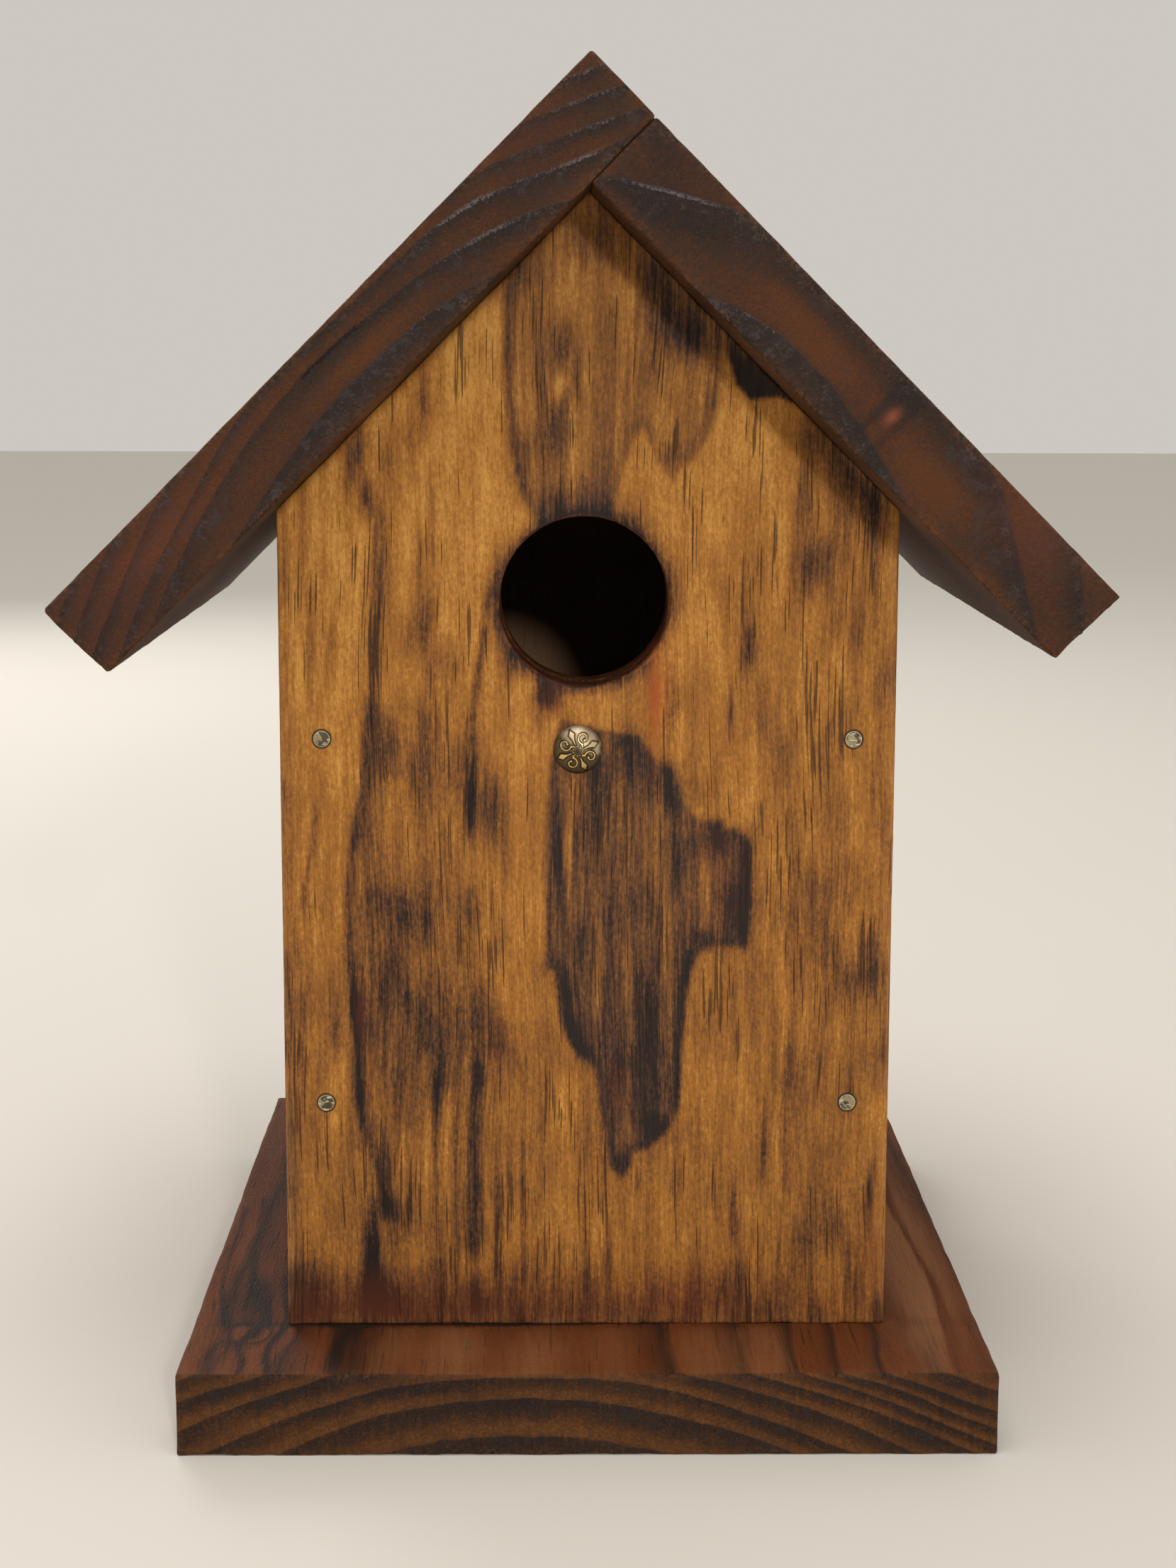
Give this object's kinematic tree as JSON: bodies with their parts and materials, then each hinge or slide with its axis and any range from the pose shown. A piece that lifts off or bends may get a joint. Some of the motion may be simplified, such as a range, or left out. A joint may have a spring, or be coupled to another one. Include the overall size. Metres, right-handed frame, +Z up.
{
  "type": "birdhouse",
  "caption": "Gabled wooden birdhouse with a round entrance, two lapped roof boards, an overhanging base board and an ornamental brass tack.",
  "frame": {"origin": "middle of the base board's underside", "axes": "+Z up, the front with the entrance faces -Y, +X to the right as seen from the front"},
  "size_m": [0.2301, 0.2286, 0.3063],
  "materials": {
    "honey_pine": "torched and brushed, satin",
    "dark_pine": "torched dark and brushed, satin",
    "nail_steel": "hammered, slightly tarnished",
    "screw_steel": "zinc plated",
    "antique_brass": "stamped relief, dark patina in the hollows"
  },
  "bodies": {
    "root": {"front_panel": "honey_pine", "back_panel": "honey_pine", "left_side": "honey_pine", "right_side": "honey_pine", "roof_left": "dark_pine", "roof_right": "dark_pine", "base_board": "dark_pine", "front_nail_1": "nail_steel", "front_nail_2": "nail_steel", "front_nail_3": "nail_steel", "front_nail_4": "nail_steel", "back_nail_1": "nail_steel", "back_nail_2": "nail_steel", "back_nail_3": "nail_steel", "back_nail_4": "nail_steel", "roof_left_nail_1": "nail_steel", "roof_left_nail_2": "nail_steel", "roof_left_nail_3": "nail_steel", "roof_left_nail_4": "nail_steel", "roof_right_nail_1": "nail_steel", "roof_right_nail_2": "nail_steel", "roof_right_nail_3": "nail_steel", "roof_right_nail_4": "nail_steel", "ridge_nail_1": "nail_steel", "ridge_nail_2": "nail_steel", "ridge_nail_3": "nail_steel", "base_screw_1": "screw_steel", "base_screw_2": "screw_steel", "base_screw_3": "screw_steel", "base_screw_4": "screw_steel", "brass_tack": "antique_brass"}
  },
  "joints": []
}
